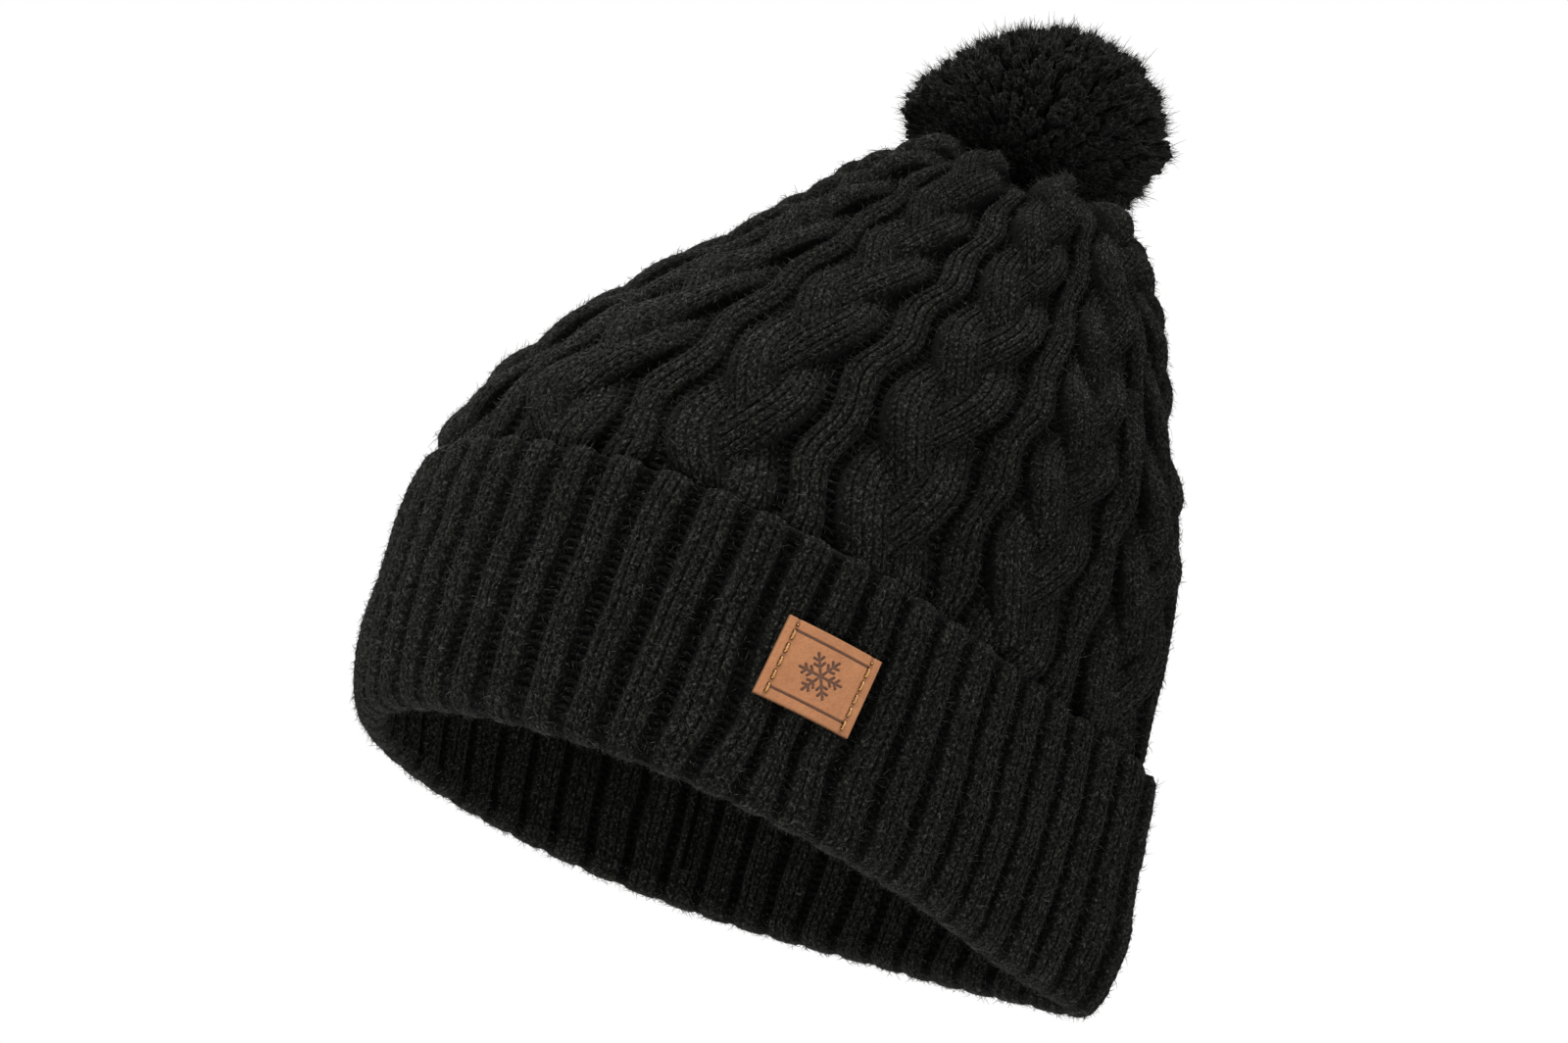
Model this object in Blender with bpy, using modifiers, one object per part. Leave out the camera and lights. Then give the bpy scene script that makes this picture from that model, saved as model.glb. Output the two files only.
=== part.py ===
"""A cable-knit bobble hat with a turned-up ribbed cuff, a leather patch and a yarn pompom.

The hat stands on the flat underside of its cuff: +Z is up, -Y is the front, where the patch is.
Every knitted layer follows one inner form, given by a few stations up the hat. A station's outline
is an oval that is blunt on the left (-X) and pinched on the right (+X), and a layer lies a stated
distance outside it. Lengths are in metres.
"""
import math

import bmesh
import bpy
import numpy as np
from mathutils import Matrix, Vector

MM = 0.001
GAP = 0.3 * MM

# The inner form, from the rim to the drawn-in apex: height, half width, half depth and middle in x
# (mm), then how far the right end is pinched and how far both ends are.
STATIONS = (
    (0.0, 100.0, 75.0, 5.8, 0.50, 0.35),
    (24.0, 104.5, 77.0, 2.8, 0.48, 0.35),
    (48.0, 104.5, 80.0, -1.2, 0.45, 0.35),
    (72.0, 103.6, 83.0, -4.2, 0.42, 0.35),
    (96.0, 99.8, 82.0, -5.7, 0.36, 0.28),
    (118.0, 91.8, 78.5, -3.9, 0.28, 0.20),
    (140.0, 80.5, 71.0, 0.3, 0.20, 0.12),
    (160.0, 68.3, 61.5, 4.3, 0.13, 0.06),
    (179.0, 56.3, 51.0, 6.8, 0.07, 0.0),
    (192.0, 47.0, 43.5, 7.8, 0.03, 0.0),
    (201.0, 37.5, 35.0, 8.8, 0.0, 0.0),
    (203.5, 26.0, 25.0, 8.8, 0.0, 0.0),
    (202.0, 15.0, 15.0, 8.8, 0.0, 0.0),
    (198.0, 7.5, 7.5, 8.8, 0.0, 0.0),
)
APEX = len(STATIONS) - 1
APEX_X = 8.8 * MM

# Knitted fabric
FABRIC = 3.8 * MM          # one layer, without the raised ribs and cables
BAND_OUT = 2.6 * MM        # the band's outer face, drawn in so that the cuff slides over it
EVEN_AT = 5.0 * MM         # ribs are equally spaced on the outline this far outside the form
RIBS = 48                  # ribs around the cuff and the band
REPEATS = 12               # cable panels around the crown
COLUMNS = 2 * RIBS
RIB_RELIEF = 1.0 * MM
BAND_TOP = 61.7 * MM
LIP_TOP = 6.0 * MM
CROWN_ROWS = 15

# Turned-up cuff
CUFF_HEIGHT = 71.0 * MM
CUFF_TILT = 0.03           # the free edge stands higher on the left
CUFF_SECTION = (           # outward distance, height (mm) and share of the rib relief
    (4.6, 6.0, 0.0), (4.6, 30.0, 0.0), (4.9, 52.0, 0.0), (5.2, 69.5, 0.0), (5.8, 71.0, 0.2),
    (7.2, 71.0, 0.6), (8.1, 69.0, 1.0), (8.4, 56.0, 1.0), (8.6, 46.0, 1.0), (8.6, 35.0, 1.0),
    (8.6, 24.0, 1.0), (8.4, 13.0, 1.0), (7.9, 5.5, 0.8), (6.9, 1.6, 0.4), (5.6, 0.0, 0.0),
    (2.6, 0.0, 0.0), (1.2, 0.9, 0.0), (0.2, 3.4, 0.0), (0.0, 6.0, 0.0),
)

# Leather patch, sewn to the front of the cuff down both sides
PATCH_X = 3.4 * MM
PATCH_Z = 39.2 * MM
PATCH_WIDTH = 27.0 * MM
PATCH_HEIGHT = 23.2 * MM
PATCH_BACK = 8.6 * MM
PATCH_THICK = 1.8 * MM
PATCH_PRESS = 1.0 * MM     # how far the patch presses the ribs under it
PATCH_MARGIN = 4.0 * MM    # how far beyond the patch the ribs lie flat
PATCH_FADE = 5.0 * MM      # and how far beyond that they rise again
PATCH_HOLES = 11
PATCH_HOLE_EDGE = 2.5 * MM
HOLE_RADIUS = 0.45 * MM
THREAD_RADIUS = 0.24 * MM

# Blank care label, sewn inside the band at the back
LABEL_X = 10.8 * MM
LABEL_WIDTH = 22.0 * MM
LABEL_TOP = 58.0 * MM
LABEL_HEIGHT = 20.0 * MM
LABEL_FACE = -1.7 * MM
LABEL_THICK = 0.6 * MM
LABEL_HOLES = 7
LABEL_HOLE_EDGE = 3.0 * MM
LABEL_THREAD_RADIUS = 0.18 * MM

# Seam up the inside of the back
SEAM_RADIUS = 0.9 * MM
SEAM_BOTTOM = 9.0 * MM
SEAM_TOP = 188.0 * MM
SEAM_POINTS = 32

# Drawn-in apex, tie and pompom
GATHER_Z = 200.6 * MM
GATHER_RADIUS = 3.6 * MM
GATHER_YARN = 1.1 * MM
PIVOT_Z = 206.0 * MM
TIE_RADIUS = 1.4 * MM
KNOT_RADIUS = 4.2 * MM
KNOT_Z = 194.0 * MM
WRAP_RADIUS = 2.0 * MM
POMPOM_Z = 233.0 * MM
POMPOM_WIDE = 38.5 * MM    # half the ball's width, and half its flatter height
POMPOM_TALL = 31.0 * MM
POMPOM_LEAN = math.radians(22.0)
POMPOM_SLOPE = math.radians(23.0)
POMPOM_LIFT = 1.0 * MM
BORE_RADIUS = 2.0 * MM
CORE_RADIUS = 5.4 * MM
CORE_HALF = 2.4 * MM
BINDING_RADIUS = 3.4 * MM
BINDING_YARN = 1.3 * MM
POMPOM_STEP = 14           # degrees between rings, from the top down
POMPOM_LOWEST = 126
TURN_STEPS = 28

# Linear colour, roughness of each finish
FINISHES = {
    "knit_yarn": ((0.018, 0.018, 0.020), 0.92),
    "pompom_yarn": ((0.014, 0.014, 0.015), 0.95),
    "tie_thread": ((0.012, 0.012, 0.013), 0.8),
    "patch_leather": ((0.50, 0.235, 0.095), 0.5),
    "patch_thread": ((0.62, 0.22, 0.03), 0.55),
    "label_satin": ((0.72, 0.72, 0.70), 0.45),
}


def clear_scene():
    for item in list(bpy.data.objects):
        bpy.data.objects.remove(item, do_unlink=True)


def new_collection(name):
    group = bpy.data.collections.new(name)
    bpy.context.scene.collection.children.link(group)
    return group


def finish_material(node, finish):
    """A material of the node's own, in one of the finishes."""
    colour, roughness = FINISHES[finish]
    material = bpy.data.materials.new(node + "_" + finish)
    material.use_nodes = True
    shader = material.node_tree.nodes["Principled BSDF"]
    shader.inputs["Base Color"].default_value = (*colour, 1.0)
    shader.inputs["Roughness"].default_value = roughness
    shader.inputs["Metallic"].default_value = 0.0
    material.diffuse_color = (*colour, 1.0)
    return material


def add_mesh(name, mesh, group, finish, parent):
    """Link a mesh whose points are in world space, hung on its parent empty."""
    item = bpy.data.objects.new(name, mesh)
    group.objects.link(item)
    item.parent = parent
    mesh.transform(Matrix.Translation(-parent.location))
    mesh.materials.append(finish_material(name, finish))
    return item


def station(t):
    """Smooth blend between the stations: height, half width, half depth, middle, pinches."""
    low = min(int(t), APEX - 1)
    part = t - low
    rows = np.array([STATIONS[min(max(low + step, 0), APEX)] for step in (-1, 0, 1, 2)])
    before, start, end, after = rows
    blend = start + 0.5 * part * (
        (end - before)
        + part * ((2.0 * before - 5.0 * start + 4.0 * end - after)
                  + part * (3.0 * (start - end) + after - before)))
    return (*(blend[:4] * MM), *blend[4:])


def level_at(height):
    """The blend parameter at a height between the rim and the shoulder."""
    low, high = 0.0, float(APEX - 2)
    for _ in range(40):
        middle = 0.5 * (low + high)
        if station(middle)[0] < height:
            low = middle
        else:
            high = middle
    return 0.5 * (low + high)


def outline(t):
    """The form's outline at a level, as arrays: point, outward direction, length so far."""
    height, half_width, half_depth, middle, pinch, taper = station(t)
    angle = np.linspace(0.0, 2.0 * math.pi, 1441)
    cosine = np.cos(angle)
    sine = np.sin(angle)
    narrow = 1.0 - pinch * cosine - taper * cosine * cosine
    point = np.stack([middle + half_width * cosine,
                      half_depth * sine * narrow,
                      np.full_like(angle, height)], axis=1)
    slope = cosine * narrow + sine * sine * (pinch + 2.0 * taper * cosine)
    out = np.stack([half_depth * slope, half_width * sine, np.zeros_like(angle)], axis=1)
    out /= np.linalg.norm(out, axis=1)[:, None]
    step = np.linalg.norm(np.diff(point + EVEN_AT * out, axis=0), axis=1)
    return point, out, np.concatenate([[0.0], np.cumsum(step)])


def along(level, length):
    """The form's point and outward direction at a length along an outline."""
    point, out, run = level
    length = np.asarray(length) % run[-1]
    where = np.stack([np.interp(length, run, point[:, axis]) for axis in range(3)], axis=-1)
    face = np.stack([np.interp(length, run, out[:, axis]) for axis in range(3)], axis=-1)
    return where, face / np.linalg.norm(face, axis=-1, keepdims=True)


def ring(t):
    """The equally spaced columns of the knit at a level."""
    level = outline(t)
    return along(level, np.arange(COLUMNS) / COLUMNS * level[2][-1])


def length_at_x(level, x, side):
    """The length along an outline at which it passes x, on the front (-1) or the back (+1)."""
    point, _, run = level
    on_side = point[:, 1] * side > 0.0
    return run[np.argmin(np.abs(point[:, 0] - x) + np.where(on_side, 0.0, 1.0))]


def ring_loft(name, rows, group, finish, parent):
    """A closed body from rows of columns, joined end to end both ways."""
    count, columns, _ = rows.shape
    shape = bmesh.new()
    grid = [[shape.verts.new(point) for point in row] for row in rows]
    for r in range(count):
        for c in range(columns):
            after_r = (r + 1) % count
            after_c = (c + 1) % columns
            shape.faces.new((grid[r][c], grid[r][after_c], grid[after_r][after_c],
                             grid[after_r][c]))
    bmesh.ops.recalc_face_normals(shape, faces=shape.faces)
    mesh = bpy.data.meshes.new(name)
    shape.to_mesh(mesh)
    shape.free()
    mesh.shade_smooth()
    mesh.set_sharp_from_angle(angle=math.radians(50.0))
    return add_mesh(name, mesh, group, finish, parent)


def rib_wave():
    """+1 on each rib, -1 in the furrow beside it."""
    return np.where(np.arange(COLUMNS) % 2 == 0, 1.0, -1.0)


def smooth_step(value):
    value = np.clip(value, 0.0, 1.0)
    return value * value * (3.0 - 2.0 * value)


def under_patch(point):
    """1 under the patch, fading to 0 just beyond it."""
    beside = np.abs(point[:, 0] - PATCH_X) - 0.5 * PATCH_WIDTH - PATCH_MARGIN
    above = np.abs(point[:, 2] - PATCH_Z) - 0.5 * PATCH_HEIGHT - PATCH_MARGIN
    share = smooth_step(1.0 - beside / PATCH_FADE) * smooth_step(1.0 - above / PATCH_FADE)
    return np.where(point[:, 1] < 0.0, share, 0.0)


def build_cuff(group, parent):
    """The turned-up rib: a wall that rises from a rounded fold with a flat underside."""
    rows = []
    for distance, height, share in CUFF_SECTION:
        point, out = ring(level_at(height * MM))
        press = under_patch(point) * share
        relief = RIB_RELIEF * share * rib_wave() * (1.0 - press) - PATCH_PRESS * press
        row = point + out * (distance * MM + relief)[:, None]
        row[:, 2] = height * MM - CUFF_TILT * row[:, 0] * (height * MM / CUFF_HEIGHT)
        if height == 0.0:
            row[:, 2] = 0.0
        rows.append(row)
    return ring_loft("turned_cuff", np.array(rows), group, "knit_yarn", parent)


def build_band(group, parent):
    """The ribbed band behind the cuff, its ribs standing into the hat."""
    rows = []
    heights = np.linspace(LIP_TOP + GAP, BAND_TOP, 5)
    furrow = 0.5 * RIB_RELIEF * (1.0 - rib_wave())
    for height in heights:
        point, out = ring(level_at(height))
        rows.append(point + out * furrow[:, None])
    for height in heights[::-1]:
        point, out = ring(level_at(height))
        rows.append(point + out * BAND_OUT)
    return ring_loft("inner_band", np.array(rows), group, "knit_yarn", parent)


def crown_relief(row, column):
    """Height of the knit above the fabric: rib, furrow, five columns of cable, furrow."""
    place = column % (COLUMNS // REPEATS)
    if place == 0:
        return 1.6 * MM
    if place in (1, 7):
        return 0.0
    across = (place - 4) / 2.0
    sway = math.sin(row * math.pi / 2.0)
    return (2.6 - 0.7 * across * across + 0.9 * across * sway) * MM


def build_crown(group, parent):
    """The cabled crown, open below and with a small hole at the drawn-in apex."""
    levels = np.linspace(level_at(BAND_TOP + GAP), APEX, CROWN_ROWS)
    form = np.array([ring(t)[0] for t in levels])
    around = np.roll(form, -1, axis=1) - np.roll(form, 1, axis=1)
    upward = np.gradient(form, axis=0)
    out = np.cross(around, upward)
    out /= np.linalg.norm(out, axis=2)[:, :, None]
    grow = smooth_step((form[:, 0, 2] - CUFF_HEIGHT) / (16.0 * MM))
    fade = smooth_step((APEX - levels) / 4.0)
    relief = np.array([[crown_relief(r, c) for c in range(COLUMNS)] for r in range(CROWN_ROWS)])
    thick = FABRIC + relief * (grow * fade)[:, None]
    outer = form + out * thick[:, :, None]
    rows = np.concatenate([outer, form[::-1]])
    return ring_loft("crown_shell", rows, group, "knit_yarn", parent)


def sheet_points(x, side, across, heights, distance):
    """A grid of points that lies at a distance outside the form, around x on one side."""
    rows = []
    for height in heights:
        level = outline(level_at(height))
        middle = length_at_x(level, x, side)
        point, out = along(level, middle + across)
        rows.append(point + out * distance)
    return np.array(rows)


def curved_plate(name, corners, thickness, group, finish, parent):
    """A grid of points made solid on the side that its faces point to."""
    rows, columns, _ = corners.shape
    shape = bmesh.new()
    grid = [[shape.verts.new(point) for point in row] for row in corners]
    for r in range(rows - 1):
        for c in range(columns - 1):
            shape.faces.new((grid[r][c], grid[r][c + 1], grid[r + 1][c + 1], grid[r + 1][c]))
    mesh = bpy.data.meshes.new(name)
    shape.to_mesh(mesh)
    shape.free()
    plate = add_mesh(name, mesh, group, finish, parent)
    solid = plate.modifiers.new("thickness", "SOLIDIFY")
    solid.thickness = thickness
    solid.offset = 1.0
    return plate


def punch(plate, places, radius, cutters):
    """Round holes through a plate, each a cutter along its own direction."""
    for index, (point, out) in enumerate(places):
        bpy.ops.mesh.primitive_cylinder_add(vertices=8, radius=radius, depth=8.0 * MM)
        cutter = bpy.context.active_object
        cutter.name = plate.name + "_hole_" + str(index)
        cutter.location = point
        cutter.rotation_euler = Vector(out).to_track_quat("Z", "Y").to_euler()
        cutter.hide_render = True
        cutter.display_type = "WIRE"
        for owner in list(cutter.users_collection):
            owner.objects.unlink(cutter)
        cutters.objects.link(cutter)
        cut = plate.modifiers.new("hole_" + str(index), "BOOLEAN")
        cut.operation = "DIFFERENCE"
        cut.object = cutter


def tube(name, points, radius, group, finish, parent, cyclic=False):
    """A yarn or thread: a round tube along a line of points."""
    curve = bpy.data.curves.new(name, "CURVE")
    curve.dimensions = "3D"
    curve.bevel_depth = radius
    curve.bevel_resolution = 2
    curve.use_fill_caps = True
    line = curve.splines.new("POLY")
    line.points.add(len(points) - 1)
    for spot, point in zip(line.points, points):
        spot.co = (*(Vector(point) - parent.location), 1.0)
    line.use_cyclic_u = cyclic
    curve.materials.append(finish_material(name, finish))
    item = bpy.data.objects.new(name, curve)
    group.objects.link(item)
    item.parent = parent
    return item


def stitch_line(places, above, below):
    """A running stitch: over the plate, down one hole, along its back and up the next."""
    points = []
    for index, (point, out) in enumerate(places):
        ends = (above, below) if index % 2 == 0 else (below, above)
        points.extend(point + out * distance for distance in ends)
    return points


def hole_places(x, side, across, heights):
    """The form's point and outward direction at each hole of a line of stitches."""
    places = []
    for shift, height in zip(across, heights):
        level = outline(level_at(height))
        point, out = along(level, length_at_x(level, x, side) + shift)
        places.append((point, out))
    return places


def build_patch(group, cutters, parent):
    """The leather patch, with a row of needle holes and a running stitch down each side."""
    half = 0.5 * PATCH_WIDTH
    across = np.linspace(-half, half, 9)
    heights = np.linspace(PATCH_Z - 0.5 * PATCH_HEIGHT, PATCH_Z + 0.5 * PATCH_HEIGHT, 7)
    corners = sheet_points(PATCH_X, -1, across, heights, PATCH_BACK)
    patch = curved_plate("leather_patch", corners, PATCH_THICK, group, "patch_leather", parent)
    span = 0.5 * PATCH_HEIGHT - 1.6 * MM
    rows = np.linspace(PATCH_Z + span, PATCH_Z - span, PATCH_HOLES)
    clear = THREAD_RADIUS + 0.12 * MM
    for word, sign in (("left", -1.0), ("right", 1.0)):
        shift = np.full(PATCH_HOLES, sign * (half - PATCH_HOLE_EDGE))
        places = hole_places(PATCH_X, -1, shift, rows)
        punch(patch, [(p + o * PATCH_BACK, o) for p, o in places], HOLE_RADIUS, cutters)
        line = stitch_line(places, PATCH_BACK + PATCH_THICK + clear, PATCH_BACK - clear)
        tube("patch_thread_" + word, line, THREAD_RADIUS, group, "patch_thread", parent)


def build_label(group, cutters, parent):
    """The blank care label and the stitches along its top edge."""
    half = 0.5 * LABEL_WIDTH
    across = np.linspace(-half, half, 7)
    heights = np.linspace(LABEL_TOP - LABEL_HEIGHT, LABEL_TOP, 6)
    corners = sheet_points(LABEL_X, 1, across, heights, LABEL_FACE)
    label = curved_plate("care_label", corners, LABEL_THICK, group, "label_satin", parent)
    span = half - 2.0 * MM
    shifts = np.linspace(-span, span, LABEL_HOLES)
    rows = np.full(LABEL_HOLES, LABEL_TOP - LABEL_HOLE_EDGE)
    places = hole_places(LABEL_X, 1, shifts, rows)
    middle = LABEL_FACE + 0.5 * LABEL_THICK
    punch(label, [(p + o * middle, o) for p, o in places], 0.4 * MM, cutters)
    clear = LABEL_THREAD_RADIUS + 0.1 * MM
    line = stitch_line(places, LABEL_FACE - clear, LABEL_FACE + LABEL_THICK + clear)
    tube("label_thread", line, LABEL_THREAD_RADIUS, group, "tie_thread", parent)


def build_seam(group, parent):
    """The seam's ridge, up the inside of the back from the band to the crown."""
    top = level_at(SEAM_TOP)
    levels = np.linspace(level_at(SEAM_BOTTOM), top, SEAM_POINTS)
    inward = SEAM_RADIUS + GAP
    points = []
    for t in levels:
        level = outline(t)
        point, out = along(level, 0.25 * level[2][-1])
        slope = station(min(t + 0.1, APEX))[0] - station(t)[0]
        lean = station(t)[2] - station(min(t + 0.1, APEX))[2]
        inside = Vector(out) * slope + Vector((0.0, 0.0, max(lean, 0.0)))
        points.append(Vector(point) - inside.normalized() * inward)
    return tube("back_seam", points, SEAM_RADIUS, group, "knit_yarn", parent)


def circle(radius, height, count):
    """A level circle of points around the tie."""
    turns = [2.0 * math.pi * index / count for index in range(count)]
    return [Vector((APEX_X + radius * math.cos(turn), radius * math.sin(turn), height))
            for turn in turns]


def turned(name, profile, group, finish, parent):
    """A body turned about the tie from a profile that runs from its top to its bottom."""
    shape = bmesh.new()
    spots = [shape.verts.new((radius, 0.0, height)) for radius, height in profile]
    for first, second in zip(spots, spots[1:]):
        shape.edges.new((first, second))
    mesh = bpy.data.meshes.new(name)
    shape.to_mesh(mesh)
    shape.free()
    mesh.materials.append(finish_material(name, finish))
    item = bpy.data.objects.new(name, mesh)
    group.objects.link(item)
    item.parent = parent
    item.location = Vector((APEX_X, 0.0, 0.0)) - parent.location
    screw = item.modifiers.new("turn", "SCREW")
    screw.steps = TURN_STEPS
    screw.render_steps = TURN_STEPS
    screw.axis = "Z"
    screw.use_merge_vertices = True
    screw.merge_threshold = 0.01 * MM
    screw.use_smooth_shade = True
    return item


def small_ball(name, radius, group, finish, parent):
    """A ball about its parent's origin."""
    shape = bmesh.new()
    bmesh.ops.create_uvsphere(shape, u_segments=20, v_segments=10, radius=radius)
    mesh = bpy.data.meshes.new(name)
    shape.to_mesh(mesh)
    shape.free()
    mesh.transform(Matrix.Translation(parent.location))
    mesh.shade_smooth()
    return add_mesh(name, mesh, group, finish, parent)


def build_tie(group, root, neck, ball):
    """The gathering yarn, the knot inside it, the wrapped neck, the tie and its binding."""
    tube("crown_gather_yarn", circle(GATHER_RADIUS, GATHER_Z, 20), GATHER_YARN, group,
         "tie_thread", root, cyclic=True)
    arc = [math.radians(angle) for angle in range(-90, 60, 15)]
    stub = PIVOT_Z - WRAP_RADIUS - GAP
    knot = [(0.0, stub), (TIE_RADIUS, stub), (TIE_RADIUS, KNOT_Z + 0.8 * KNOT_RADIUS)]
    knot += [(KNOT_RADIUS * math.cos(turn), KNOT_Z + KNOT_RADIUS * math.sin(turn))
             for turn in reversed(arc)]
    turned("tie_knot", knot, group, "tie_thread", root)
    small_ball("neck_wrap", WRAP_RADIUS, group, "tie_thread", neck)
    top = POMPOM_Z + CORE_HALF - GAP
    low = PIVOT_Z + WRAP_RADIUS + GAP
    turned("pompom_tie", [(0.0, top), (TIE_RADIUS, top), (TIE_RADIUS, low), (0.0, low)],
           group, "tie_thread", ball)
    tube("pompom_binding", circle(BINDING_RADIUS, POMPOM_Z, 20), BINDING_YARN, group,
         "tie_thread", ball, cyclic=True)


def pompom_reach(toward):
    """How far the pompom reaches from its middle: a leaning, flattened ball over a cone."""
    short = np.array([-math.sin(POMPOM_LEAN), 0.0, math.cos(POMPOM_LEAN)])
    share = (toward @ short) ** 2
    ball = 1.0 / np.sqrt(share / POMPOM_TALL ** 2 + (1.0 - share) / POMPOM_WIDE ** 2)
    fall = math.tan(POMPOM_SLOPE) * np.hypot(toward[..., 0], toward[..., 1]) - toward[..., 2]
    cone = (POMPOM_Z - PIVOT_Z - POMPOM_LIFT) / np.maximum(fall, 1e-3)
    return np.minimum(ball, cone)


def build_pompom(group, parent):
    """The pompom: a flattened ball with a shallow cone below, bored for its tie and binding."""
    around = np.arange(TURN_STEPS) * 2.0 * math.pi / TURN_STEPS
    level = np.stack([np.cos(around), np.sin(around), np.zeros(TURN_STEPS)], axis=1)
    rise = np.array([0.0, 0.0, 1.0])
    middle = np.array([APEX_X, 0.0, POMPOM_Z])
    rows = []
    for angle in range(POMPOM_STEP, POMPOM_LOWEST + 1, POMPOM_STEP):
        turn = math.radians(angle)
        toward = math.sin(turn) * level + math.cos(turn) * rise
        rows.append(middle + toward * pompom_reach(toward)[:, None])
    low = PIVOT_Z + POMPOM_LIFT + BORE_RADIUS * math.tan(POMPOM_SLOPE) - POMPOM_Z
    for radius, height in ((BORE_RADIUS, low), (BORE_RADIUS, -CORE_HALF), (CORE_RADIUS, -CORE_HALF),
                           (CORE_RADIUS, CORE_HALF)):
        rows.append(middle + radius * level + height * rise)
    top = middle + rise * pompom_reach(rise)
    return capped_loft("pompom", rows, top, middle + CORE_HALF * rise, group, "pompom_yarn", parent)


def capped_loft(name, rows, first, last, group, finish, parent):
    """A closed body from rings of points that close on a point at each end."""
    shape = bmesh.new()
    grid = [[shape.verts.new(point) for point in row] for row in rows]
    ends = ((shape.verts.new(first), grid[0]), (shape.verts.new(last), grid[-1]))
    for upper, lower in zip(grid, grid[1:]):
        for c in range(len(upper)):
            after = (c + 1) % len(upper)
            shape.faces.new((upper[c], upper[after], lower[after], lower[c]))
    for tip, row in ends:
        for c in range(len(row)):
            shape.faces.new((tip, row[c], row[(c + 1) % len(row)]))
    bmesh.ops.recalc_face_normals(shape, faces=shape.faces)
    mesh = bpy.data.meshes.new(name)
    shape.to_mesh(mesh)
    shape.free()
    mesh.shade_smooth()
    mesh.set_sharp_from_angle(angle=math.radians(40.0))
    return add_mesh(name, mesh, group, finish, parent)


def pivot(name, location, group, parent=None):
    """An empty on a joint's axis, which carries the pieces of one moving body."""
    empty = bpy.data.objects.new(name, None)
    empty.empty_display_size = 10.0 * MM
    empty.location = location
    group.objects.link(empty)
    if parent is not None:
        empty.parent = parent
        empty.location = Vector(location) - parent.location
    return empty


def build_hat():
    clear_scene()
    hat = new_collection("knit_bobble_hat")
    cutters = new_collection("knit_bobble_hat_cutters")
    origin = Vector((0.0, 0.0, 0.0))
    apex = Vector((APEX_X, 0.0, PIVOT_Z))
    root = pivot("hat_frame", origin, hat)
    cuff = pivot("cuff_frame", origin, hat)
    neck = pivot("neck_frame", apex, hat)
    ball = pivot("ball_frame", apex, hat)
    build_crown(hat, root)
    build_band(hat, root)
    build_cuff(hat, cuff)
    build_patch(hat, cutters, cuff)
    build_label(hat, cutters, root)
    build_seam(hat, root)
    build_tie(hat, root, neck, ball)
    build_pompom(hat, ball)


build_hat()
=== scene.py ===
"""The looks of the cable-knit bobble hat, built in Blender 4.5 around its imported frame.

The knit is modelled as relief on the hat's own form: ribs and furrows on the cuff and the band,
plaited cables between narrow ribs on the crown, and a V for every stitch. Lengths are in metres;
names that end in _MM are in millimetres.
"""

import math

import bpy
import numpy as np
from mathutils import Matrix, Vector


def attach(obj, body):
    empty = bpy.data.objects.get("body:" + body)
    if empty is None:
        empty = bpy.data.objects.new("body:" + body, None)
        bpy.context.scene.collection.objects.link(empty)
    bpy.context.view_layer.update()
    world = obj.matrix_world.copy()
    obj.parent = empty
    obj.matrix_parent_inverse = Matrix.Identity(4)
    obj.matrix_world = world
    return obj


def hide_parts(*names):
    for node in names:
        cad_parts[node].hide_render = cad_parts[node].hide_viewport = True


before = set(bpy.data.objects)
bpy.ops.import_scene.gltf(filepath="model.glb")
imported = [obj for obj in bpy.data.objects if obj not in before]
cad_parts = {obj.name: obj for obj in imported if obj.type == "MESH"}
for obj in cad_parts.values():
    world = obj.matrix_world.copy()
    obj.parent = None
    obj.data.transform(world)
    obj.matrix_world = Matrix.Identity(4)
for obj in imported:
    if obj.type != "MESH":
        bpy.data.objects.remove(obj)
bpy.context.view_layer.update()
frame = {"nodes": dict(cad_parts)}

MM = 0.001

# The inner form of the hat, as the frame has it: height, half width, half depth and middle in x
# (mm), then how far the right end is pinched and how far both ends are.
STATIONS = np.array((
    (0.0, 100.0, 75.0, 5.8, 0.50, 0.35),
    (24.0, 104.5, 77.0, 2.8, 0.48, 0.35),
    (48.0, 104.5, 80.0, -1.2, 0.45, 0.35),
    (72.0, 103.6, 83.0, -4.2, 0.42, 0.35),
    (96.0, 99.8, 82.0, -5.7, 0.36, 0.28),
    (118.0, 91.8, 78.5, -3.9, 0.28, 0.20),
    (140.0, 80.5, 71.0, 0.3, 0.20, 0.12),
    (160.0, 68.3, 61.5, 4.3, 0.13, 0.06),
    (179.0, 56.3, 51.0, 6.8, 0.07, 0.0),
    (192.0, 47.0, 43.5, 7.8, 0.03, 0.0),
    (201.0, 37.5, 35.0, 8.8, 0.0, 0.0),
    (203.5, 26.0, 25.0, 8.8, 0.0, 0.0),
    (202.0, 15.0, 15.0, 8.8, 0.0, 0.0),
    (198.0, 7.5, 7.5, 8.8, 0.0, 0.0),
))
APEX = len(STATIONS) - 1
EVEN_AT_MM = 5.0             # ribs are equally spaced on the outline this far outside the form

# Knit
RIBS = 48
REPEATS = 12
RIB_COLUMNS = RIBS * 36      # mesh columns round the cuff and the band
CROWN_COLUMNS = REPEATS * 144
ROW_MM = 0.44                # mesh rows along the knit
COURSE_MM = 2.3              # one row of stitches
RIB_HALF = 0.365             # half a rib's width, as a share of one rib and one furrow
STRETCHED_AT = 31.0          # the rib round which the furrows lie widest
RIB_WALES = 3                # columns of stitches on a rib
RIB_DEPTH_MM = 3.2
STITCH_MM = 0.7
GROOVE_MM = 0.7              # between two columns of stitches
BAR_MM = 0.9

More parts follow.
